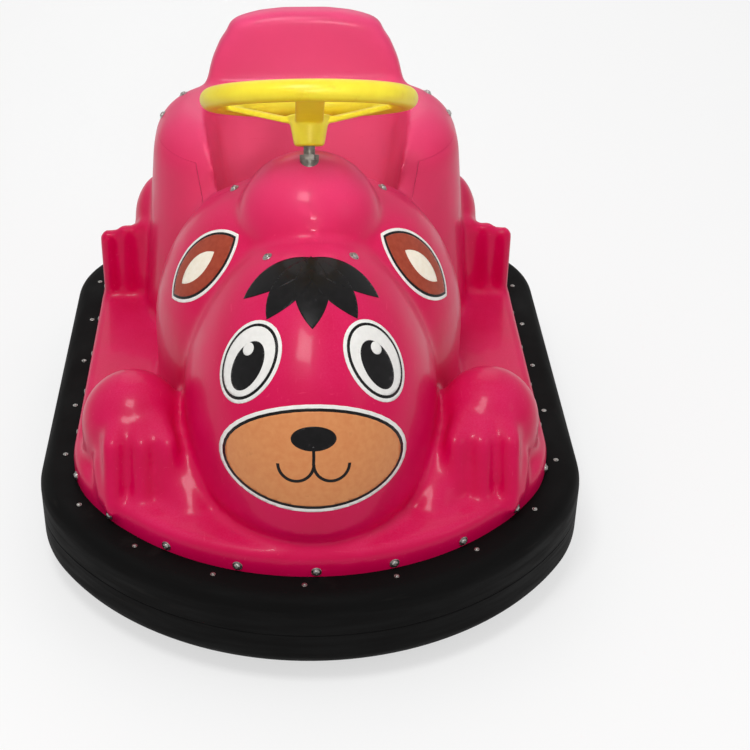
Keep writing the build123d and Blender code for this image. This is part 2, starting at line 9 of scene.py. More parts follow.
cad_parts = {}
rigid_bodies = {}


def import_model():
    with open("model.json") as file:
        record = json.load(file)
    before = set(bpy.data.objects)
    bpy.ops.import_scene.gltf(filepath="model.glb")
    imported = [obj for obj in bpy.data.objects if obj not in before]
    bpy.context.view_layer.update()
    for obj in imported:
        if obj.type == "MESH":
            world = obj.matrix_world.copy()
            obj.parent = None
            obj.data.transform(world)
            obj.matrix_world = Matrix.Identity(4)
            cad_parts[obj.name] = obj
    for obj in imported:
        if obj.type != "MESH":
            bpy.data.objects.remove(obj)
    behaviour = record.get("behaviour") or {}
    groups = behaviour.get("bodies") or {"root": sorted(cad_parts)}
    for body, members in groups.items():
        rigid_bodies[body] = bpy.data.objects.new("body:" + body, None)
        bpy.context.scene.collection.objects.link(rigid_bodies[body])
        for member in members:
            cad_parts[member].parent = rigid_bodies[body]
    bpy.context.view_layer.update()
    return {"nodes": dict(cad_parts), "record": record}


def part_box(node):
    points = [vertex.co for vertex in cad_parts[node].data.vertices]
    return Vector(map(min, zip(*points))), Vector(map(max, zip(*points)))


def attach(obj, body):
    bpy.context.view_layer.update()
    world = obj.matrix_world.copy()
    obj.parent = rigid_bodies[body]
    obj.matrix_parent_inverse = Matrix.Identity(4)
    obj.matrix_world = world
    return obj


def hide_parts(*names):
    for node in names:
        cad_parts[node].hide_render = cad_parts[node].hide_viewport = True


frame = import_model()

mm = 0.001
fullTurn = 2 * pi


# a point or a size given in millimetres, in metres
def inMetres(*values):
    return Vector(values) * mm


# where a shape drawn about the origin goes, turned by some degrees on the way
def placing(x, y, z, turn=0, axis="Z"):
    return Matrix.Translation(inMetres(x, y, z)) @ Matrix.Rotation(radians(turn), 4, axis)


def moveAll(bm, matrix):
    bmesh.ops.transform(bm, matrix=matrix, verts=bm.verts)


def vertsIn(parts):
    return [part for part in parts if isinstance(part, bmesh.types.BMVert)]


# a wire in one plane: "to" runs straight on, "arc" turns the last point about a centre by some degrees
def drawWire(bm, start, moves, upright=True):
    place = (lambda a, b: inMetres(a, 0, b)) if upright else (lambda a, b: inMetres(a, b, 0))
    axis = (0, -1, 0) if upright else (0, 0, 1)
    last = bm.verts.new(place(*start))
    for kind, a, b, *turn in moves:
        if kind == "to":
            ahead = bm.verts.new(place(a, b))
            bm.edges.new((last, ahead))
            last = ahead
        else:
            made = bmesh.ops.spin(bm, geom=[last], cent=place(a, b), axis=axis,
                                  angle=radians(turn[0]), steps=turn[1], use_duplicate=False)
            last = vertsIn(made["geom_last"])[0]


def closeSeams(bm, distance=0.02):
    bmesh.ops.remove_doubles(bm, verts=bm.verts, dist=distance * mm)
    bmesh.ops.recalc_face_normals(bm, faces=bm.faces)


# turns a drawn half section right round the upright axis
def spinRound(bm, steps=64):
    bmesh.ops.spin(bm, geom=bm.verts[:] + bm.edges[:], cent=(0, 0, 0), axis=(0, 0, 1),
                   angle=fullTurn, steps=steps, use_merge=True, use_duplicate=False)
    closeSeams(bm)


# stands the drawn faces up into a block by one step, and gives back the points that moved
def raiseFaces(bm, x, y, z):
    lifted = vertsIn(bmesh.ops.extrude_face_region(bm, geom=bm.faces[:], use_keep_orig=True)["geom"])
    bmesh.ops.translate(bm, verts=lifted, vec=inMetres(x, y, z))
    return lifted


# a closed wire drawn in side view becomes a slab that reaches as far to the left as to the right
def thicken(bm, halfWidth):
    closeSeams(bm)
    bmesh.ops.contextual_create(bm, geom=bm.edges[:])
    moveAll(bm, placing(-halfWidth, 0, 0, 90))
    raiseFaces(bm, 2 * halfWidth, 0, 0)
    closeSeams(bm)
    bmesh.ops.triangulate(bm, faces=bm.faces[:])
    bmesh.ops.recalc_face_normals(bm, faces=bm.faces)


# the edges of a block's top face
def edgesAt(bm, height, slack=0.1):
    return [edge for edge in bm.edges if all(vert.co.z > (height - slack) * mm for vert in edge.verts)]


def roundEdges(bm, edges, radius, segments, clamp=False):
    bmesh.ops.bevel(bm, geom=edges, offset=radius * mm, offset_type="OFFSET", affect="EDGES",
                    segments=segments, profile=0.5, material=-1, clamp_overlap=clamp)


# adds one finished shape to another and clears it away
def addShape(target, shape):
    mesh = bpy.data.meshes.new("shape")
    shape.to_mesh(mesh)
    shape.free()
    target.from_mesh(mesh)
    bpy.data.meshes.remove(mesh)


def makeObject(name, bm, smooth=True):
    mesh = bpy.data.meshes.new(name)
    bm.to_mesh(mesh)
    bm.free()
    piece = bpy.data.objects.new(name, mesh)
    bpy.context.scene.collection.objects.link(piece)
    for face in mesh.polygons:
        face.use_smooth = smooth
    return piece


def copyOf(piece, name):
    twin = bpy.data.objects.new(name, piece.data.copy())
    bpy.context.scene.collection.objects.link(twin)
    return twin


# puts a modifier on a piece and makes its result the piece's mesh
def applyModifier(piece, kind, **settings):
    modifier = piece.modifiers.new(kind, kind)
    for key, value in settings.items():
        setattr(modifier, key, value)
    bpy.context.view_layer.update()
    shaped = piece.evaluated_get(bpy.context.evaluated_depsgraph_get())
    mesh = bpy.data.meshes.new_from_object(shaped)
    piece.modifiers.clear()
    old = piece.data
    piece.data = mesh
    bpy.data.meshes.remove(old)
    mesh.name = piece.name


# runs a piece's shapes into one skin of small even faces, then softens its creases
def melt(piece, voxel, rounds):
    applyModifier(piece, "REMESH", mode="VOXEL", voxel_size=voxel * mm, use_smooth_shade=True)
    if rounds:
        applyModifier(piece, "SMOOTH", factor=0.5, iterations=rounds)


def cutWith(piece, cutter, operation):
    applyModifier(piece, "BOOLEAN", operation=operation, object=cutter, solver="MANIFOLD")
    bpy.data.objects.remove(cutter)


def smoothShade(piece, sharpAngle):
    for face in piece.data.polygons:
        face.use_smooth = True
    piece.data.set_sharp_from_angle(angle=radians(sharpAngle))


plan = {"length": 1140, "width": 900, "noseRadius": 494, "cornerRadius": 253, "tailRadius": 1044,
        "rearRadius": 180, "noseSteps": 26, "cornerSteps": 16, "sideSteps": 12, "rearSteps": 16,
        "tailSteps": 28}


# the rounded outline seen from above, brought in by inset: nose, corners, sides and tail, all tangent
def planWire(bm, inset, height):
    halfWidth, halfLength = plan["width"] / 2, plan["length"] / 2
    nose, front, tail, rear = (plan[part + "Radius"] for part in ("nose", "corner", "tail", "rear"))
    noseY, tailY = nose - halfLength, halfLength - tail
    frontX, rearX = halfWidth - front, halfWidth - rear
    frontY = noseY - sqrt((nose - front) ** 2 - frontX ** 2)
    rearY = tailY + sqrt((tail - rear) ** 2 - rearX ** 2)
    frontTurn = degrees(atan2(frontY - noseY, frontX))
    rearTurn = degrees(atan2(rearY - tailY, rearX))
    climbs = [(rearY - frontY) * (k + 1) / plan["sideSteps"] for k in range(plan["sideSteps"])]
    halfNose = ("arc", 0, noseY, 90 + frontTurn, plan["noseSteps"])
    moves = [halfNose, ("arc", frontX, frontY, -frontTurn, plan["cornerSteps"]),
             *[("to", halfWidth - inset, frontY + climb) for climb in climbs],
             ("arc", rearX, rearY, rearTurn, plan["rearSteps"]),
             ("arc", 0, tailY, 180 - 2 * rearTurn, plan["tailSteps"]),
             ("arc", -rearX, rearY, rearTurn, plan["rearSteps"]),
             *[("to", inset - halfWidth, rearY - climb) for climb in climbs],
             ("arc", -frontX, frontY, -frontTurn, plan["cornerSteps"]), halfNose]
    drawWire(bm, (0, inset - halfLength), moves, upright=False)
    bmesh.ops.translate(bm, verts=bm.verts, vec=inMetres(0, 0, height))
    closeSeams(bm)


# the plan stood up between two heights, its top edge rounded
def planBlock(inset, bottom, top, edge):
    bm = bmesh.new()
    planWire(bm, inset, bottom)
    bmesh.ops.contextual_create(bm, geom=bm.edges[:])
    raiseFaces(bm, 0, 0, top - bottom)
    closeSeams(bm)
    roundEdges(bm, edgesAt(bm, top), edge, 6)
    return bm


body = {
    "bottom": 168, "buried": 100,            # the moulding starts on the ring, and its lumps lower, inside it
    "deckInset": 58, "deckTop": 212, "deckEdge": 13,
    "head": {"y": -208, "radius": 205, "stretch": 300 / 205, "shoulder": 300, "top": 575, "crown": 150,
             "tuck": (9, 222, 244)},         # under the chin: how far in, and between which heights
    "hood": {"y": -25, "radius": 262, "shoulder": 332, "top": 600, "crown": 240},
    "boss": {"x": 0, "y": -85, "z": 554, "radius": 109, "spread": 1.06},
    "rump": {"halfWidth": 312, "front": 60, "rear": 458, "top": 603, "corner": 170, "edge": 76, "draft": 5},
    "leg": {"x": 288, "y": -238, "radius": 84, "shoulder": 262, "top": 352, "crown": 72},
    "thigh": {"x": 262, "y": 308, "radius": 62, "shoulder": 345, "top": 434, "crown": 50},
    "toes": (312, 266, 224), "gather": 0.4,  # where the front toes end, and how far apart their roots stay
    "toe": ((-386, 198, 13), (-336, 287, 17), (-262, 292, 36)),                   # y, z and radius, tip first
    "flank": ((300, -250, 266, 38), (316, -316, 236, 33), (317, -356, 210, 23)),  # x, y, z and radius
    "valley": ((214, -226, 236, 58), (204, -318, 224, 52), (188, -384, 192, 42)),
    "foot": {"x": 338, "front": 234, "rear": 322, "toeRadius": 14, "pitch": 34, "top": 362, "drop": 10,
             "rearTop": 290},
    "voxel": 6, "blend": 8, "cockpitBlend": 12, "lipBlend": 6, "hollowVoxel": 9, "hollowDepth": 13,
}


# a post with a domed top: a tall side arc meets a tighter crown arc. A tuck draws the foot of the post in
def dome(bottom, radius, shoulder, top, crown, stretch=1.0, x=0.0, y=0.0, tuck=None):
    rise = top - shoulder
    sideRadius = (radius ** 2 + (rise - crown) ** 2 - crown ** 2) / (2 * (radius - crown))
    turn = degrees(atan2(rise - crown, sideRadius - radius))
    wall = [(radius, bottom)]
    if tuck:
        depth, low, high = tuck
        wall = [(radius - depth, bottom), (radius - depth, low), (radius, high)]
    bm = bmesh.new()
    drawWire(bm, (0, bottom), [*[("to", *point) for point in wall], ("to", radius, shoulder),
                               ("arc", radius - sideRadius, shoulder, turn, 10),
                               ("arc", 0, top - crown, 90 - turn, 10)])
    spinRound(bm)
    moveAll(bm, placing(x, y, 0) @ Matrix.Diagonal((1, stretch, 1, 1)))
    return bm


def ball(radius, x, y, z, spread=1.0):
    bm = bmesh.new()
    bmesh.ops.create_uvsphere(bm, u_segments=48, v_segments=32, radius=radius * mm,
                              matrix=placing(x, y, z) @ Matrix.Diagonal((spread, 1, 1, 1)))
    return bm


# a skin stretched over some balls on one side of the car, each given by its place and its radius
def stretchedOver(side, *balls):
    bm = bmesh.new()
    for x, y, z, radius in balls:
        addShape(bm, ball(radius, side * x, y, z))
    hull = bmesh.ops.convex_hull(bm, input=bm.verts[:], use_existing_faces=False)
    inner = set(vertsIn(hull["geom_interior"] + hull["geom_unused"]))
    bmesh.ops.delete(bm, geom=list(inner), context="VERTS")
    closeSeams(bm)
    return bm


# a rounded rectangle drawn about the origin in the plane of the floor
def roundedWire(bm, halfWidth, halfLength, corner, steps):
    x, y = halfWidth - corner, halfLength - corner
    drawWire(bm, (halfWidth, -y), [("to", halfWidth, y), ("arc", x, y, 90, steps),
                                   ("to", -x, halfLength), ("arc", -x, y, 90, steps),
                                   ("to", -halfWidth, -y), ("arc", -x, -y, 90, steps),
                                   ("to", x, -halfLength), ("arc", x, -y, 90, steps)], upright=False)
    closeSeams(bm)


# a block with rounded corners, rounded top edges and drawn-in sides
def roundedBlock(bottom, halfWidth, front, rear, top, corner, edge, draft):
    bm = bmesh.new()
    halfLength, height = (rear - front) / 2, top - bottom
    roundedWire(bm, halfWidth, halfLength, corner, 10)
    bmesh.ops.contextual_create(bm, geom=bm.edges[:])
    pullIn = height * tan(radians(draft))
    raised = raiseFaces(bm, 0, 0, height)
    bmesh.ops.scale(bm, verts=raised, vec=(1 - pullIn / halfWidth, 1 - pullIn / halfLength, 1))
    closeSeams(bm)
    roundEdges(bm, edgesAt(bm, height), edge, 8, clamp=True)
    moveAll(bm, placing(0, (front + rear) / 2, bottom))
    return bm


backrest = {"foot": 430, "thickness": 66, "lean": 8, "edge": 22, "seatBack": 299, "seat": 288,
            "half": ((214, 430), (188, 575), (172, 640), (156, 676), (143, 692), (138, 707), (122, 717),
                     (90, 726), (45, 732))}                               # half its outline: width and height


# the backrest: a tapering slab with flaring foot and crowned top
def backrestBlock():
    sizes = backrest
    bm = bmesh.new()
    slope = cos(radians(sizes["lean"]))
    outline = [*sizes["half"], *[(-x, z) for x, z in reversed(sizes["half"])]]
    bm.faces.new([bm.verts.new(inMetres(x, 0, (z - sizes["foot"]) / slope)) for x, z in outline])
    raiseFaces(bm, 0, sizes["thickness"], 0)
    closeSeams(bm)
    slack = 2 * mm
    rim = [edge for edge in bm.edges if abs(edge.verts[0].co.y - edge.verts[1].co.y) < slack
           and max(vert.co.z for vert in edge.verts) > slack]
    roundEdges(bm, rim, sizes["edge"], 6, clamp=True)
    footY = sizes["seatBack"] + (sizes["foot"] - sizes["seat"]) * tan(radians(sizes["lean"]))
    moveAll(bm, placing(0, footY, sizes["foot"], -sizes["lean"], "X"))
    return bm


cockpit = {"seat": 288, "seatFront": 62, "seatRear": 285, "corner": 60, "lean": 8,
           "levels": ((288, 112, 62), (424, 142, 44), (560, 164, 22), (600, 178, 10), (640, 214, -20)),
           "wellHalfWidth": 128, "wellFront": -172, "wellRear": 100, "wellFloor": 138, "wellRoofFront": 468,
           "wellRoof": 540}


# the driver's space: a flaring bowl over the seat with a footwell ahead of it, each let out by so much
def cockpitBlock(grow, wellGrow):
    sizes = cockpit
    bowl = bmesh.new()
    for height, halfWidth, front in sizes["levels"]:
        rear = sizes["seatRear"] + (height - sizes["seat"]) * tan(radians(sizes["lean"]))
        height -= grow if height == sizes["seat"] else 0
        loop = bmesh.new()
        roundedWire(loop, halfWidth + grow, (rear - front) / 2 + grow, sizes["corner"] + grow, 12)
        moveAll(loop, placing(0, (front + rear) / 2, height))
        addShape(bowl, loop)
    bmesh.ops.bridge_loops(bowl, edges=bowl.edges[:])
    bmesh.ops.holes_fill(bowl, edges=bowl.edges[:])
    closeSeams(bowl)
    front, rear = sizes["wellFront"] - wellGrow, sizes["wellRear"] + wellGrow
    low, seatHeight = sizes["wellFloor"] - wellGrow, sizes["seat"] - wellGrow
    seatFront, roofFront, roof = (sizes[key] + wellGrow for key in ("seatFront", "wellRoofFront", "wellRoof"))
    well = bmesh.new()
    drawWire(well, (front, low),
             [("to", seatFront, low), ("to", seatFront, seatHeight), ("to", rear, seatHeight),
              ("to", rear, roof), ("to", front, roofFront), ("to", front, low)])
    thicken(well, sizes["wellHalfWidth"] + wellGrow)
    addShape(bowl, well)
    return bowl


def bodyLumps():
    low, leg, thigh, foot = body["buried"], body["leg"], body["thigh"], body["foot"]
    bm = planBlock(body["deckInset"], low, body["deckTop"], body["deckEdge"])
    for lump in (dome(low, **body["head"]), dome(low, **body["hood"]), ball(**body["boss"]),
                 roundedBlock(low, **body["rump"]), backrestBlock()):
        addShape(bm, lump)
    for side in (-1, 1):
        addShape(bm, dome(low, **{**leg, "x": side * leg["x"]}))
        for tip in body["toes"]:
            root = body["gather"] * tip + (1 - body["gather"]) * leg["x"]
            addShape(bm, stretchedOver(side, *[(x, *rest) for x, rest in zip((tip, tip, root), body["toe"])]))
        addShape(bm, stretchedOver(side, *body["flank"]))
        addShape(bm, stretchedOver(side, *body["valley"]))
        addShape(bm, dome(low, **{**thigh, "x": side * thigh["x"]}))
        for place in (-1, 0, 1):
            x, radius = foot["x"] + place * foot["pitch"], foot["toeRadius"]
            tip, top = foot["front"] + radius, foot["top"] - radius - place * foot["drop"]
            addShape(bm, stretchedOver(side, (x, tip, low, radius), (x, tip, top, radius),
                                       (foot["x"], foot["rear"], foot["rearTop"] - radius, radius),
                                       (foot["x"], foot["rear"], low, radius)))
    return bm


joint = {"front": 10, "rear": 640, "height": 542, "rise": 4.5, "top": 800, "halfWidth": 480, "grow": 30,
         "wellGrow": 13, "gap": 0.7, "blend": 8}


# the slab above the joint's rising plane, behind the hood
def aboveJoint(gap):
    sizes = joint
    slab = bmesh.new()
    front, height = sizes["front"] + gap, sizes["height"] + gap
    rise = (sizes["rear"] - sizes["front"]) * tan(radians(sizes["rise"]))
    drawWire(slab, (front, height),
             [("to", sizes["rear"], height + rise), ("to", sizes["rear"], sizes["top"]),
              ("to", front, sizes["top"]), ("to", front, height)])
    thicken(slab, sizes["halfWidth"])
    return slab


def remeshed(name, bm, blend):
    piece = makeObject(name, bm)
    melt(piece, body["voxel"], blend)
    return piece


print("body: joining the forms")
moulding = remeshed("body_moulding", bodyLumps(), body["blend"])
print("body: opening the cockpit", len(moulding.data.polygons))
cutWith(moulding, remeshed("cockpit_space", cockpitBlock(0, 0), body["cockpitBlend"]), "DIFFERENCE")
melt(moulding, body["voxel"], body["lipBlend"])
print("body: skin faces", len(moulding.data.polygons))
skin = bmesh.new()
skin.from_mesh(moulding.data)
skinTree = BVHTree.FromBMesh(skin)
skin.free()

hollow = copyOf(moulding, "hollow")
melt(hollow, body["hollowVoxel"], 0)
applyModifier(hollow, "DISPLACE", strength=-body["hollowDepth"] * mm, mid_level=0)
cutWith(moulding, hollow, "DIFFERENCE")
seat = copyOf(moulding, "seat_moulding")
for piece, operation, gap in ((seat, "INTERSECT", joint["gap"]), (moulding, "DIFFERENCE", 0)):
    side = makeObject("seat_side", aboveJoint(gap))
    around = cockpitBlock(joint["grow"] - gap, joint["wellGrow"] - gap)
    cutWith(side, remeshed("cockpit_side", around, joint["blend"]), "UNION")
    cutWith(piece, side, operation)
reach = 1400
below = bmesh.new()
bmesh.ops.create_cube(below, size=reach * mm, matrix=placing(0, 0, body["bottom"] - reach / 2))
cutWith(moulding, makeObject("below", below), "DIFFERENCE")
for piece, node in ((moulding, "body_shell"), (seat, "seat_tub")):
    smoothShade(piece, 35)
    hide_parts(node)
    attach(piece, "car")
    piece.data.calc_loop_triangles()
    print("body:", piece.name, "triangles", len(piece.data.loop_triangles))


ring = {"crown": 0.5, "crownInset": 20, "bottom": 38, "top": 170, "depth": 66, "outerEdge": 26,
        "innerEdge": 5, "seamHeight": 104, "seamDepth": 1.0, "seamWidth": 3.0, "seamBand": 22}


# the moulded bumper: its cross-section is drawn once, and each of its points becomes a loop of the plan
def rubberRing():
    sizes = ring
    edge, lip, depth = sizes["outerEdge"], sizes["innerEdge"], sizes["depth"]
    flat = edge + sizes["crownInset"]
    low, high, crown = sizes["bottom"], sizes["top"], sizes["crown"]
    seam, half, band = sizes["seamHeight"], sizes["seamWidth"] / 2, sizes["seamBand"]
    section = bmesh.new()
    drawWire(section, (depth, low + lip),
             [("arc", depth - lip, low + lip, -90, 4), ("to", flat, low + crown), ("to", edge, low),
              ("arc", edge, low + edge, -90, 10), ("to", 0, seam - band), ("to", 0, seam - half),
              ("to", sizes["seamDepth"], seam), ("to", 0, seam + half), ("to", 0, seam + band),
              ("to", 0, high - edge), ("arc", edge, high - edge, -90, 10), ("to", flat, high + crown),
              ("to", depth - lip, high), ("arc", depth - lip, high - lip, -90, 4)])
    bm = bmesh.new()
    loops = []
    for vert in section.verts:
        loop = bmesh.new()
        planWire(loop, vert.co.x / mm, vert.co.z / mm)
        before = len(bm.edges)
        addShape(bm, loop)
        loops.append(bm.edges[before:])
    section.free()
    for near, far in zip(loops, loops[1:] + loops[:1]):
        bmesh.ops.bridge_loops(bm, edges=near + far)
    closeSeams(bm)
    return bm


rubber = makeObject("bumper_ring", rubberRing())
smoothShade(rubber, 32)
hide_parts("rubber_ring")
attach(rubber, "car")


wheel = {"centre": (0, -49, 744), "lean": 29, "rim": 154, "grip": 17, "dish": 26,
         "hub": ((0, -47), (21, -47), (24, -44), (31, -6), (34, 1), (24, 3), (22, 1), (20, 4), (0, 5)),
         "hubTop": 31, "spokeWidth": 44, "spokeThickness": 11, "spokeTaper": 2, "spokeFoot": 8,
         "spokeTurns": (270, 30, 150), "voxel": 2.2, "blend": 6, "bore": 9.4, "boreTop": 8, "boreDepth": 80}


# the steering wheel, moulded in one: rim, dished hub and three rising spokes run into each other
def steeringWheel():
    sizes = wheel
    dish, rim, grip, under = sizes["dish"], sizes["rim"], sizes["grip"], sizes["spokeThickness"]
    hubTop, width = sizes["hubTop"], sizes["spokeWidth"]
    bm = bmesh.new()
    grips = bmesh.new()
    drawWire(grips, (rim + grip, 0), [("arc", rim, 0, 360, 28)])
    spinRound(grips, 120)
    addShape(bm, grips)
    hub = bmesh.new()
    start, *rest = [(radius, height - dish) for radius, height in sizes["hub"]]
    drawWire(hub, start, [("to", *point) for point in rest])
    spinRound(hub)
    addShape(bm, hub)
    for turn in sizes["spokeTurns"]:
        spoke = bmesh.new()
        drawWire(spoke, (0, -dish), [("to", 0, -dish - under), ("to", hubTop, -dish - under),
                                     ("to", rim, sizes["spokeTaper"] - under), ("to", rim, 0),
                                     ("to", hubTop + sizes["spokeFoot"], -dish), ("to", 0, -dish)])
        closeSeams(spoke)
        bmesh.ops.contextual_create(spoke, geom=spoke.edges[:])
        raiseFaces(spoke, 0, width, 0)
        bmesh.ops.translate(spoke, verts=spoke.verts, vec=inMetres(0, -width / 2, 0))
        closeSeams(spoke)
        moveAll(spoke, placing(0, 0, 0, turn))
        addShape(bm, spoke)
    return bm


steering = makeObject("steering_wheel_moulding", steeringWheel())
melt(steering, wheel["voxel"], wheel["blend"])
bore = bmesh.new()
bmesh.ops.create_cone(bore, cap_ends=True, segments=48, radius1=wheel["bore"] * mm,
                      radius2=wheel["bore"] * mm, depth=wheel["boreDepth"] * mm,
                      matrix=placing(0, 0, -wheel["dish"] - wheel["boreTop"] - wheel["boreDepth"] / 2))
cutWith(steering, makeObject("bore", bore), "DIFFERENCE")
leaned = bmesh.new()
leaned.from_mesh(steering.data)
moveAll(leaned, placing(*wheel["centre"], -wheel["lean"], "X"))
leaned.to_mesh(steering.data)
leaned.free()
smoothShade(steering, 50)
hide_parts("steering_wheel")
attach(steering, "steering")
print("steering wheel: faces", len(steering.data.polygons))


screw = {"steps": 18, "profile": ((0, -0.6), (8, -0.6), (8, 0.9), (7.6, 1.3), (5.4, 1.3), (5.4, 2.5),
                                  (4.6, 3.8), (3.2, 4.5), (1.9, 4.5), (1.9, 3.1), (0, 3.1))}


# a zinc-plated pan head with a socket, on its washer: stands on the origin, turned to face a way and placed
def seatScrew(target, place, facing, scale=1.0):
    head = bmesh.new()
    start, *rest = screw["profile"]
    drawWire(head, start, [("to", *point) for point in rest])
    spinRound(head, screw["steps"])
    turned = facing.to_track_quat("Z", "Y").to_matrix().to_4x4()
    moveAll(head, Matrix.Translation(place) @ turned @ Matrix.Scale(scale, 4))
    addShape(target, head)


# where a line from start meets the body's outside, and the way the body faces there
def touch(start, direction):
    place, facing, *rest = skinTree.ray_cast(start, direction)
    return place, facing


fixing = {"flange": {"inset": body["deckInset"], "height": 180, "count": 26, "start": 0.9},
          "ring": {"inset": 40, "height": ring["top"], "count": 23, "start": 0.9},
          "ringShrink": 0.52, "reach": 60,
          "pairs": ((122, -6, 566, (0.45, 0, 0.89)), (268, 286, 572, (0.85, 0, 0.53)),
                    (228, 322, 600, (0.5, 0.1, 0.85)), (120, 440, 575, (0.1, 0.9, 0.4)),
                    (66, -220, 558, (0.45, -0.05, 0.89)))}                  # x, y, z and the way each faces


# evenly spaced places on the car's plan, brought in by inset, with the way out at each
def roundThePlan(inset, height, count, start):
    loop = bmesh.new()
    planWire(loop, inset, height)
    loop.edges.ensure_lookup_table()
    edge = loop.edges[0]
    vert = min(edge.verts, key=lambda end: end.co.x)
    walk = []
    for _ in range(len(loop.edges)):
        ahead = edge.other_vert(vert)
        walk.append((vert.co.copy(), ahead.co.copy()))
        vert = ahead
        edge = [side for side in vert.link_edges if side is not edge][0]
    loop.free()
    total = sum((end - begin).length for begin, end in walk)
    marks = [total * (k + start) / count for k in range(count)]
    places = []
    passed = 0
    for begin, end in walk:
        length = (end - begin).length
        for mark in [mark for mark in marks if passed <= mark < passed + length]:
            way = (end - begin).normalized()
            place = begin + way * (mark - passed)
            out = way.cross(Vector((0, 0, 1)))
            places.append((place, out if out.dot(place) > 0 else -out))
        passed += length
    return places


screws = bmesh.new()
for place, out in roundThePlan(**fixing["flange"]):
    seatScrew(screws, *touch(place + out * fixing["reach"] * mm, -out))
for place, out in roundThePlan(**fixing["ring"]):
    seatScrew(screws, place, Vector((0, 0, 1)), fixing["ringShrink"])
for x, y, z, facing in fixing["pairs"]:
    for side in (-1, 1):
        away = Vector((side * facing[0], facing[1], facing[2])).normalized()
        seatScrew(screws, *touch(inMetres(side * x, y, z) + away * fixing["reach"] * mm, -away))
fasteners = makeObject("panel_screws", screws)
smoothShade(fasteners, 40)
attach(fasteners, "car")
print("screws: faces", len(fasteners.data.polygons))


decal = {"film": 0.25, "lift": 0.3, "layer": 0.2, "grid": 4.0, "border": 5.5, "line": 4.5, "reach": 150,
         "ovalSides": 44, "leafSides": 96, "strokeStep": 3}
films = {name: bmesh.new() for name in ("white", "black", "tan", "brown", "cream")}


# cuts a flat sheet down to an oval by one straight cut for each of its sides
def trim(bm, halfWidth, halfHeight, x, sides):
    rim = bmesh.new()
    bmesh.ops.create_circle(rim, segments=sides, radius=1.0)
    for vert in rim.verts:
        out = Vector((vert.co.x / halfWidth, vert.co.y / halfHeight, 0))
        edge = inMetres(x + vert.co.x * halfWidth, vert.co.y * halfHeight, 0)
        bmesh.ops.bisect_plane(bm, geom=bm.verts[:] + bm.edges[:] + bm.faces[:], plane_co=edge, plane_no=out,
                               clear_outer=True)
    rim.free()


# a flat oval of film on a fine grid
def oval(halfWidth, halfHeight, x=0.0, y=0.0):
    reach = max(halfWidth, halfHeight)
    count = max(6, int(2 * reach / decal["grid"]))
    bm = bmesh.new()
    bmesh.ops.create_grid(bm, x_segments=count, y_segments=count, size=reach * mm)
    trim(bm, halfWidth, halfHeight, 0, decal["ovalSides"])
    moveAll(bm, placing(x, y, 0))
    return bm


# a pointed leaf: the part that two round discs share
def leaf(length, width, x=0.0, y=0.0, turn=0.0):
    radius = (length ** 2 / 4 + width ** 2 / 4) / width
    count = int(length / decal["grid"])
    bm = bmesh.new()
    bmesh.ops.create_grid(bm, x_segments=count, y_segments=count, size=length / 2 * mm)
    for side in (-1, 1):
        trim(bm, radius, radius, side * (radius - width / 2), decal["leafSides"])
    moveAll(bm, placing(x, y, 0, turn))
    return bm


# a curved stroke of even width: part of a ring about a centre
def stroke(x, y, radius, start, turn):
    bm = bmesh.new()
    across = [bm.verts.new(inMetres(radius + decal["line"] * (k / 4 - 0.5), 0, 0)) for k in range(5)]
    for near, far in zip(across, across[1:]):
        bm.edges.new((near, far))
    bmesh.ops.spin(bm, geom=bm.verts[:] + bm.edges[:], cent=(0, 0, 0), axis=(0, 0, 1), angle=radians(turn),
                   steps=max(4, int(radians(turn) * radius / decal["strokeStep"])), use_duplicate=False)
    moveAll(bm, placing(x, y, 0, start))
    closeSeams(bm)
    return bm


# lays flat film on the body: the drawing faces the given way, and each of its points goes down to the body
def layFilm(film, flat, spot, layer):
    away = Vector(spot["facing"]).normalized()
    if spot["at"][0] < 0:
        moveAll(flat, Matrix.Diagonal((-1, 1, 1, 1)))
    right = Vector((0, 0, 1)).cross(away).normalized()
    up = away.cross(right)
    start = inMetres(*spot["at"]) + away * decal["reach"] * mm
    for vert in flat.verts:
        hit, out = touch(start + right * vert.co.x + up * vert.co.y, -away)
        if hit:
            vert.co = hit + out * (decal["lift"] + layer * decal["layer"]) * mm
    bmesh.ops.recalc_face_normals(flat, faces=flat.faces)
    if sum((face.normal.dot(away) for face in flat.faces)) < 0:
        bmesh.ops.reverse_faces(flat, faces=flat.faces)
    addShape(films[film], flat)


# a patch with a white border and a black line round it: the same shape three times, each a little smaller
def bordered(film, shape, sizes, spot, **place):
    widths = (2 * (decal["border"] + decal["line"]), 2 * decal["line"], 0)
    share = 1 if shape is leaf else 0.5     # a leaf is given by its whole sizes, an oval by its half sizes
    for layer, (name, extra) in enumerate(zip(("white", "black", film), widths)):
        layFilm(name, shape(sizes[0] + share * extra, sizes[1] + share * extra, **place), spot, layer)


face = {
    "eye": {"at": (96, -380, 474), "facing": (0.60, -0.52, 0.61), "half": (44, 55),
            "pupil": (27, 39, -4, -6), "glint": (10, 10, 8, 16)},
    "ear": {"at": (176, -130, 493), "facing": (0.69, -0.43, 0.58), "size": (146, 86),
            "inner": (82, 38, 2, -6), "turn": 24},
    "muzzle": {"at": (0, -492, 374), "facing": (0, -0.93, 0.37), "half": (130, 72), "nose": (33, 18, 0, 33),
               "lip": (-200, 8, 200, -4, 8), "smile": (26, -5)},
    "fringe": {"at": (0, -300, 562), "facing": (0, -0.42, 0.91), "width": 52, "overlap": 12, "rise": 44,
               "leaves": ((-66, 124), (-34, 132), (0, 138), (34, 132), (66, 124))},      # turn and length
}


# the same part of the face on the car's other side
def otherSide(part):
    return {**part, **{key: (-part[key][0], *part[key][1:]) for key in ("at", "facing")}}


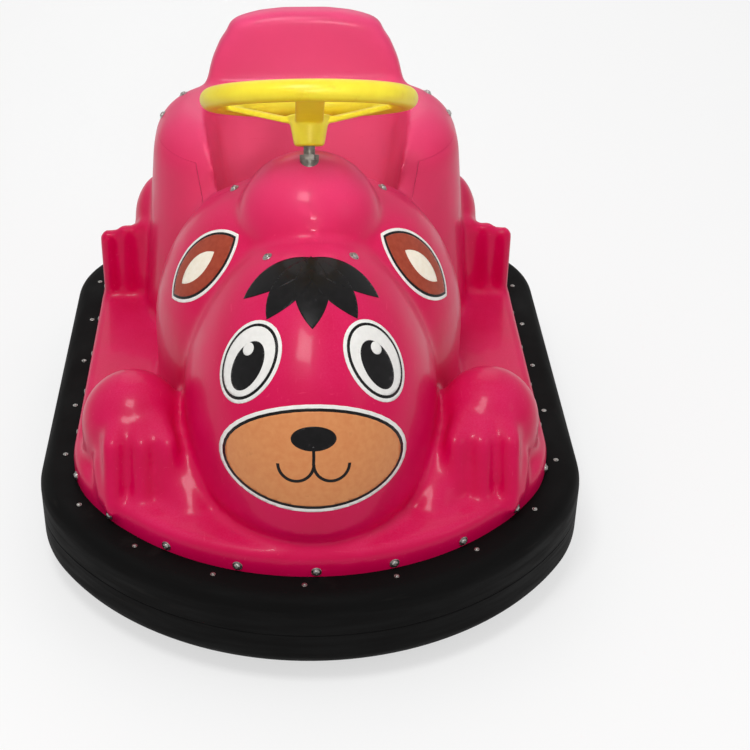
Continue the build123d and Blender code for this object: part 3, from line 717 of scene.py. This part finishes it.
print("decals: laying the film")
for eye, ear in ((otherSide(face["eye"]), otherSide(face["ear"])), (face["eye"], face["ear"])):
    bordered("white", oval, eye["half"], eye)
    layFilm("black", oval(*eye["pupil"]), eye, 3)
    layFilm("white", oval(*eye["glint"]), eye, 4)
    bordered("brown", leaf, ear["size"], ear, turn=ear["turn"])
    layFilm("cream", leaf(*ear["inner"], turn=ear["turn"]), ear, 3)
muzzle, fringe = face["muzzle"], face["fringe"]
bordered("tan", oval, muzzle["half"], muzzle)
layFilm("black", oval(*muzzle["nose"]), muzzle, 3)
layFilm("black", stroke(*muzzle["lip"]), muzzle, 3)
smileRadius, smileHeight = muzzle["smile"]
for side in (-1, 1):
    layFilm("black", stroke(side * smileRadius, smileHeight, smileRadius, 180, 180), muzzle, 3)
for turn, length in fringe["leaves"]:
    along = length / 2 - fringe["overlap"]
    x, y = sin(radians(turn)) * along, fringe["rise"] - cos(radians(turn)) * along
    layFilm("black", leaf(length, fringe["width"], x, y, turn), fringe, 1)
for name, bm in films.items():
    bmesh.ops.dissolve_degenerate(bm, dist=0.01 * mm, edges=bm.edges[:])
    film = makeObject("decal_" + name, bm)
    applyModifier(film, "SOLIDIFY", thickness=decal["film"] * mm, offset=-1)
    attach(film, "car")
    films[name] = film
    print("decals:", name, len(film.data.polygons))


tyre = {"edge": 9, "groove": 3, "grooveDepth": 2.4, "grooveSlope": 0.5, "grooves": (-11, 0, 11),
        "rimGap": 0.2}


# a solid rubber tyre with grooves round its tread, made on its CAD tyre's place and size
def grooveTyre(node, rim):
    low, high = (Vector(corner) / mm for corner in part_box(node))
    rimLow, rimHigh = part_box(rim)
    outer, half = (high.z - low.z) / 2, (high.x - low.x) / 2
    inner = (rimHigh[2] - rimLow[2]) / 2 / mm + tyre["rimGap"]
    edge, slot = tyre["edge"], tyre["groove"] / 2
    foot, bed = slot - tyre["grooveSlope"], outer - tyre["grooveDepth"]
    moves = [("to", outer - edge, -half), ("arc", outer - edge, edge - half, -90, 6)]
    for place in tyre["grooves"]:
        moves += [("to", outer, place - slot), ("to", bed, place - foot), ("to", bed, place + foot),
                  ("to", outer, place + slot)]
    moves += [("to", outer, half - edge), ("arc", outer - edge, half - edge, -90, 6), ("to", inner, half),
              ("to", inner, -half)]
    bm = bmesh.new()
    drawWire(bm, (inner, -half), moves)
    spinRound(bm, 72)
    moveAll(bm, placing(*(low + high) / 2, 90, "Y"))
    return bm


treads = []
for node, rim, bodyName in (("drive_tyre", "drive_rim", "drive_wheel"),
                            ("rear_left_tyre", "rear_left_rim", "rear_left_wheel"),
                            ("rear_right_tyre", "rear_right_rim", "rear_right_wheel")):
    tread = makeObject("grooved_" + node, grooveTyre(node, rim))
    smoothShade(tread, 35)
    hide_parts(node)
    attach(tread, bodyName)
    treads.append(tread)
print("tyres: faces each", len(tread.data.polygons))


pedal = {"sole": 8, "count": 7, "width": 58, "length": 5, "rise": 3, "edge": 1}


# raised ribs across the pedal's sloping face
def pedalRibs():
    low, high = (Vector(corner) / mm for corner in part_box("foot_pedal"))
    heel, toe = Vector((0, high.y, low.z + pedal["sole"])), Vector((0, low.y, high.z))
    slope = atan2(toe.z - heel.z, toe.y - heel.y) - pi
    bm = bmesh.new()
    for k in range(pedal["count"]):
        rib = bmesh.new()
        sides = Matrix.Diagonal((pedal["width"], pedal["length"], pedal["rise"], 1))
        bmesh.ops.create_cube(rib, size=mm, matrix=sides)
        roundEdges(rib, rib.edges[:], pedal["edge"], 2)
        place = heel.lerp(toe, (k + 1) / (pedal["count"] + 1))
        moveAll(rib, placing((low.x + high.x) / 2, place.y, place.z, degrees(slope), "X"))
        addShape(bm, rib)
    return bm


ribs = makeObject("pedal_ribs", pedalRibs(), smooth=False)
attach(ribs, "car")


# an sRGB hex value in the linear values that shaders use
def colour(hexCode):
    parts = [int(hexCode[i:i + 2], 16) / 255 for i in (1, 3, 5)]
    return (*(c / 12.92 if c <= 0.04045 else ((c + 0.055) / 1.055) ** 2.4 for c in parts), 1.0)


# adds one node: inputs are plain values or other nodes' sockets, settings are the node's own
def addNode(material, kind, inputs, **settings):
    tree = material.node_tree
    node = tree.nodes.new("ShaderNode" + kind)
    for key, value in settings.items():
        setattr(node, key, value)
    for key, value in inputs.items():
        if isinstance(value, bpy.types.NodeSocket):
            tree.links.new(value, node.inputs[key])
        else:
            node.inputs[key].default_value = value
    return node.outputs


# an empty material: constants go straight on its shader's sockets
def newMaterial(name, **shader):
    material = bpy.data.materials.new(name)
    material.use_nodes = True
    principled = material.node_tree.nodes["Principled BSDF"]
    for key, value in shader.items():
        principled.inputs[key.replace("_", " ")].default_value = value
    return material


# links what was worked out to the material's shader
def finish(material, tone, roughness, relief):
    sockets = material.node_tree.nodes["Principled BSDF"].inputs
    for key, output in (("Base Color", tone), ("Roughness", roughness), ("Normal", relief)):
        if output:
            material.node_tree.links.new(output, sockets[key])
    return material


# how many pattern cells of a size in millimetres there are in a metre
def perMetre(size):
    return 1 / (size * mm)


# soft random values in spots of about a size in millimetres
def cloudy(material, place, size, detail, **inputs):
    return addNode(material, "TexNoise", {"Vector": place, "Scale": perMetre(size), "Detail": detail,
                                          **inputs})[0]


# stretches the values between low and high over another span, and holds those beyond at its ends
def spanned(material, value, low, high, start=0.0, end=1.0, **settings):
    return addNode(material, "MapRange", {"Value": value, "From Min": low, "From Max": high, "To Min": start,
                                          "To Max": end}, **settings)[0]


def computed(material, operation, *values):
    return addNode(material, "Math", dict(enumerate(values)), operation=operation)[0]


# one tone turning into another as share rises
def mixed(material, share, tone, other):
    return addNode(material, "Mix", {0: share, 6: tone, 7: other}, data_type="RGBA")[2]


# lets a pattern raise the surface by a height in millimetres
def raised(material, pattern, height, **inputs):
    return addNode(material, "Bump", {"Height": pattern, "Distance": height * mm, **inputs})["Normal"]


# the common build: two tones in patches, which roughness follows, rougher spots of a third and a fine grain
def surface(name, tones, patch, rough, grain, height, worn, wornSize, wornFrom=0.62, wornTo=0.74,
            wornShare=0.6, stretch=(1, 1, 1), **shader):
    material = newMaterial(name, **shader)
    place = addNode(material, "TexCoord", {})["Object"]
    stretched = addNode(material, "Mapping", {"Vector": place, "Scale": stretch})["Vector"]
    share = spanned(material, cloudy(material, stretched, patch, 4.0), 0.32, 0.68)
    tone = mixed(material, share, colour(tones[0]), colour(tones[1]))
    roughness = spanned(material, share, 0.0, 1.0, *rough)
    rub = cloudy(material, stretched, wornSize, 8.0, Roughness=0.65)
    rubbedAndPaintedLight = spanned(material, rub, wornFrom, wornTo, 0.0, wornShare)
    tone = mixed(material, rubbedAndPaintedLight, tone, colour(worn))
    roughness = computed(material, "MULTIPLY_ADD", rubbedAndPaintedLight, 0.15, roughness)
    return finish(material, tone, roughness, raised(material, cloudy(material, place, grain, 2.0), height))


# the paler tone towards the top and the paler pool round the seat are painted light
gelCoat = {"deep": "#D2004A", "pale": "#DC0054", "patch": 80, "dust": "#EE78B0", "dustShare": 0.09,
           "speckle": 2.4, "paintedTopLight": "#F26C9C", "paintedTopLightFrom": 0.54, "paintedTopLightTo": 0.82, "paintedTopLightShare": 0.58,
           "rubbedAndPaintedLight": "#FF6E96", "seat": (0, 0.25, 0.45), "paintedSeatLightFrom": 0.12, "paintedSeatLightTo": 0.34, "paintedSeatLightShare": 0.68,
           "scratch": "#E8406F", "scratchWays": ((35, (1, 26, 9)), (-50, (22, 1, 7))), "peel": 6.0,
           "peelHeight": 0.05, "wave": 70, "waveHeight": 0.5}


# polyester gel coat on glass fibre, moulded and waxed: a deep even pink under a soft gloss, faintly rippled
# like orange peel, with painted light making it paler towards the top and in a pool round the cockpit seat,
# with a speckled film of dust where it faces up and hair scratches from years of knocks
def gelCoatMaterial():
    sizes = gelCoat
    material = newMaterial("polyester_gel_coat", Specular_IOR_Level=0.15, Coat_Weight=0.14,
                           Coat_Roughness=0.1)
    place = addNode(material, "TexCoord", {})["Object"]
    cloud = cloudy(material, place, sizes["patch"], 5.0)
    facing = addNode(material, "NewGeometry", {})["Normal"]
    upward = addNode(material, "SeparateXYZ", {"Vector": facing})["Z"]
    lying = spanned(material, upward, 0.4, 1.0, 0.0, sizes["dustShare"], interpolation_type="SMOOTHSTEP")
    flecked = spanned(material, cloudy(material, place, sizes["speckle"], 3.0), 0.38, 0.62, 0.45, 1.2)
    drift = spanned(material, cloud, 0.3, 0.7, 0.6)
    dust = computed(material, "MULTIPLY", computed(material, "MULTIPLY", lying, flecked), drift)
    # painted light: the pink turns paler with height, standing in for the brighter light from above
    height = addNode(material, "SeparateXYZ", {"Vector": place})["Z"]
    paintedTopLight = spanned(material, height, sizes["paintedTopLightFrom"], sizes["paintedTopLightTo"], 0.0, sizes["paintedTopLightShare"])
    # painted light: a paler pool round the seat, standing in for the light that falls into the cockpit
    away = addNode(material, "VectorMath", {0: place, 1: sizes["seat"]}, operation="DISTANCE")["Value"]
    rubbedAndPaintedLight = spanned(material, away, sizes["paintedSeatLightFrom"], sizes["paintedSeatLightTo"], sizes["paintedSeatLightShare"], 0.0,
                     interpolation_type="SMOOTHSTEP")
    lines = []
    for turn, stretch in sizes["scratchWays"]:
        way = addNode(material, "Mapping", {"Vector": place, "Rotation": (0.3, 0.2, radians(turn)),
                                            "Scale": stretch})[0]
        hair = addNode(material, "TexNoise", {"Vector": way, "Scale": 14.0, "Detail": 6.0,
                                              "Roughness": 0.6})[0]
        lines.append(spanned(material, hair, 0.655, 0.7, 0.0, 0.4))
    scratches = computed(material, "MAXIMUM", *lines)
    tone = mixed(material, spanned(material, cloud, 0.25, 0.75), colour(sizes["deep"]), colour(sizes["pale"]))
    # dust and scratches are marks on the coat; the paler top and the pool round the seat are painted light
    for amount, name in ((dust, "dust"), (paintedTopLight, "paintedTopLight"), (rubbedAndPaintedLight, "rubbedAndPaintedLight"), (scratches, "scratch")):
        tone = mixed(material, amount, tone, colour(sizes[name]))
    rough = computed(material, "MULTIPLY_ADD", dust, 0.7, spanned(material, cloud, 0.3, 0.7, 0.3, 0.42))
    rough = computed(material, "MULTIPLY_ADD", scratches, 0.3, rough)
    peel, wave = (cloudy(material, place, sizes[key], 1.0) for key in ("peel", "wave"))
    slow = raised(material, wave, sizes["waveHeight"])
    return finish(material, tone, rough, raised(material, peel, sizes["peelHeight"], Normal=slow))


# hot-dip galvanised sheet: grey crystals a centimetre across, each with its own tone and shine
def galvanisedMaterial():
    material = newMaterial("hot_dip_galvanised_steel", Metallic=1.0)
    place = addNode(material, "TexCoord", {})["Object"]
    crystal = addNode(material, "TexVoronoi", {"Vector": place, "Scale": perMetre(11)})["Color"]
    share = addNode(material, "SeparateColor", {"Color": crystal})["Red"]
    tone = mixed(material, share, colour("#7E8284"), colour("#A9ADAF"))
    rough = spanned(material, share, 0.0, 1.0, 0.38, 0.6)
    return finish(material, tone, rough, raised(material, cloudy(material, place, 1.5, 3.0), 0.03))


finishes = {
    "gelcoat": gelCoatMaterial(),
    "galvanised_sheet": galvanisedMaterial(),
    # natural rubber, press-moulded: near black, dull and pebbled, greyed by long scuffs round its outside
    "bumper_rubber": surface("moulded_black_rubber", ("#030303", "#080707"), 45, (0.62, 0.8), 1.6, 0.12,
                             worn="#2A2725", wornSize=60, wornFrom=0.6, wornTo=0.78, wornShare=0.5,
                             stretch=(0.45, 0.45, 5), Specular_IOR_Level=0.12),
    # mild steel under sprayed satin enamel: black, rippled, greyed with dust and chipped to primer in spots
    "black_steel": surface("satin_enamelled_steel", ("#0E0E10", "#18181A"), 60, (0.42, 0.58), 4.0, 0.05,
                           worn="#4A443E", wornSize=35, wornFrom=0.64, wornTo=0.7, wornShare=0.7),
    # polypropylene battery case, injection moulded: charcoal with a fine eroded grain and paler rub marks
    "battery_case": surface("moulded_polypropylene", ("#15161A", "#1F2024"), 50, (0.45, 0.6), 1.4, 0.08,
                            worn="#3A3B40", wornSize=40, wornShare=0.4),
    # nylon pedal, injection moulded: dull black, rubbed grey by shoes
    "pedal_plastic": surface("moulded_black_nylon", ("#0F0F10", "#171717"), 25, (0.5, 0.7), 1.2, 0.08,
                             worn="#454341", wornSize=22, wornFrom=0.52, wornTo=0.7, wornShare=0.7),
    # turned and zinc-plated steel: grey, clouded in flat patches and browned in spots
    "bright_steel": surface("zinc_plated_steel", ("#5E5A54", "#8E8A82"), 12, (0.38, 0.55), 1.0, 0.03,
                            worn="#5C4A3A", wornSize=16, wornFrom=0.64, wornTo=0.76, wornShare=0.5,
                            stretch=(1, 1, 1.6), Metallic=1.0),
    # cold-headed screws, bright zinc plated: pale, dulled and browned in specks
    "zinc_screws": surface("bright_zinc_screws", ("#9C9A96", "#C6C4C0"), 5, (0.25, 0.42), 0.8, 0.02,
                           worn="#6E5C4C", wornSize=4, wornFrom=0.6, wornTo=0.7, wornShare=0.6, Metallic=1.0),
    # sintered tin bronze washer: warm yellow-brown, oiled and darkened in patches
    "bronze": surface("sintered_bronze", ("#8A6238", "#B08850"), 10, (0.35, 0.5), 1.0, 0.04,
                      worn="#4A3420", wornSize=12, wornShare=0.6, Metallic=1.0),
    # gravity-cast aluminium: light grey, coarse from the mould and dulled with road dust
    "cast_alloy": surface("cast_aluminium", ("#85868A", "#A5A6A8"), 30, (0.45, 0.62), 1.8, 0.12,
                          worn="#5E5A55", wornSize=30, wornShare=0.5, Metallic=1.0),
    # motor enamel on a steel can: dark blue-grey with an oily sheen
    "motor_paint": surface("gloss_motor_enamel", ("#1C2126", "#272D33"), 40, (0.28, 0.42), 3.0, 0.04,
                           worn="#0C0B0A", wornSize=30, wornShare=0.5),
    # solid tyre rubber: black and dull, greyed by floor dust in spots
    "tyre": surface("tyre_rubber", ("#0A0A0A", "#151413"), 20, (0.65, 0.85), 1.2, 0.12,
                    worn="#4E4A45", wornSize=14, wornFrom=0.5, wornTo=0.72, wornShare=0.6),
    # yellow polypropylene, injection moulded: lemon with a matt eroded grain, soiled amber by hands in spots
    "yellow_plastic": surface("moulded_yellow_plastic", ("#EBD31E", "#F2DF30"), 40, (0.34, 0.48), 1.3, 0.05,
                              worn="#D9A820", wornSize=26, wornFrom=0.6, wornTo=0.76, wornShare=0.4,
                              Subsurface_Weight=0.06, Subsurface_Scale=0.004),
}

# cast vinyl film, printed and laminated: even colours, faintly mottled, softly glossy, rubbed in small spots
filmTones = {"white": ("#EEECE8", "#F6F4F0", "#D8D2CE"), "black": ("#080708", "#100E10", "#3A3638"),
             "tan": ("#DA8A55", "#E0955E", "#CC7C4A"), "brown": ("#9A3A24", "#A84730", "#7A2C1C"),
             "cream": ("#F6EBD6", "#FCF4E4", "#E0CFB4")}
for name, film in films.items():
    deep, pale, rubbedAndPaintedLight = filmTones[name]
    film.data.materials.append(surface("cast_vinyl_" + name, (deep, pale), 9, (0.32, 0.42), 0.9, 0.02,
                                       worn=rubbedAndPaintedLight, wornSize=18, wornFrom=0.63, wornTo=0.7, wornShare=0.5,
                                       Specular_IOR_Level=0.18, Coat_Weight=0.1, Coat_Roughness=0.12))

dressed = [(moulding, "gelcoat"), (seat, "gelcoat"), (rubber, "bumper_rubber"), (steering, "yellow_plastic"),
           (fasteners, "zinc_screws"), (ribs, "pedal_plastic"), *[(tread, "tyre") for tread in treads],
           *[(frame["nodes"][part["node"]], part["material_slot"]) for part in frame["record"]["subparts"]]]
for piece, slotName in dressed:
    piece.data.materials.clear()
    piece.data.materials.append(finishes[slotName])
print("materials:", len(bpy.data.materials))


def addLamp(name, place, aim, size, power, spread=180):
    light = bpy.data.lights.new(name, "AREA")
    light.shape = "SQUARE"
    light.size = size
    light.energy = power
    light.spread = radians(spread)
    lamp = bpy.data.objects.new(name, light)
    lamp.location = place
    lamp.rotation_euler = (Vector(aim) - Vector(place)).to_track_quat("-Z", "Y").to_euler()
    bpy.context.scene.collection.objects.link(lamp)


addLamp("key", (-0.4, -1.3, 3.0), (0, 0, 0.4), 0.8, 31)
addLamp("side", (2.6, -1.4, 2.0), (0, 0.1, 0.4), 1.2, 4.5)
addLamp("seat", (0.3, -2.6, 1.9), (0, 0.36, 0.64), 0.4, 0.3, spread=18)
addLamp("back", (0, 3.0, 2.8), (0, 0, 0.4), 3.0, 21)

world = bpy.data.worlds.new("studio")
bpy.context.scene.world = world
world.use_nodes = True
sky = world.node_tree.nodes["Background"]
sky.inputs["Color"].default_value = (1, 1, 1, 1)
ray = addNode(world, "LightPath", {})["Is Camera Ray"]
strength = spanned(world, ray, 0.0, 1.0, 0.58, 1.0)     # plain white where the camera sees it
world.node_tree.links.new(strength, sky.inputs["Strength"])


# matt white paper: most of what the camera and shiny parts see of it is plain white, so the shadow stays soft
def paperMaterial():
    material = newMaterial("white_paper", Roughness=0.85)
    nodes = material.node_tree.nodes
    grain = addNode(material, "TexNoise", {"Scale": perMetre(3), "Detail": 2.0})[0]
    ray = addNode(material, "LightPath", {})
    seen = computed(material, "MAXIMUM", ray["Is Camera Ray"], ray["Is Glossy Ray"])
    seen = computed(material, "MAXIMUM", seen, ray["Is Transmission Ray"])
    tone = mixed(material, seen, colour("#D2D2D2"), colour("#FFFFFF"))
    share = computed(material, "MULTIPLY", seen, 0.62)
    white = addNode(material, "Emission", {"Strength": 1.0})[0]
    lit = addNode(material, "MixShader", {0: share, 1: nodes["Principled BSDF"].outputs[0], 2: white})[0]
    material.node_tree.links.new(lit, nodes["Material Output"].inputs["Surface"])
    return finish(material, tone, None, raised(material, grain, 0.05))


floorReach = 6
sheet = bmesh.new()
bmesh.ops.create_grid(sheet, x_segments=1, y_segments=1, size=floorReach)
floor = makeObject("floor", sheet)
floor.data.materials.append(paperMaterial())

view = {"elevation": 32, "azimuth": -0.0155, "distance": 2.715, "target": (0, 0.0559, 0.2842),
        "lens": 73.05, "sensor": 36, "shift": (0.0895, -0.0827)}
lens = bpy.data.cameras.new("camera")
lens.lens = view["lens"]
lens.sensor_width = view["sensor"]
lens.shift_x, lens.shift_y = view["shift"]
camera = bpy.data.objects.new("camera", lens)
lift = radians(view["elevation"])
aim = Vector(view["target"])
camera.location = aim + view["distance"] * Vector((sin(view["azimuth"]) * cos(lift),
                                                  -cos(view["azimuth"]) * cos(lift), sin(lift)))
camera.rotation_euler = (aim - camera.location).to_track_quat("-Z", "Y").to_euler()
bpy.context.scene.collection.objects.link(camera)
bpy.context.scene.camera = camera
bpy.context.scene.view_settings.view_transform = "Standard"

print("sizes")
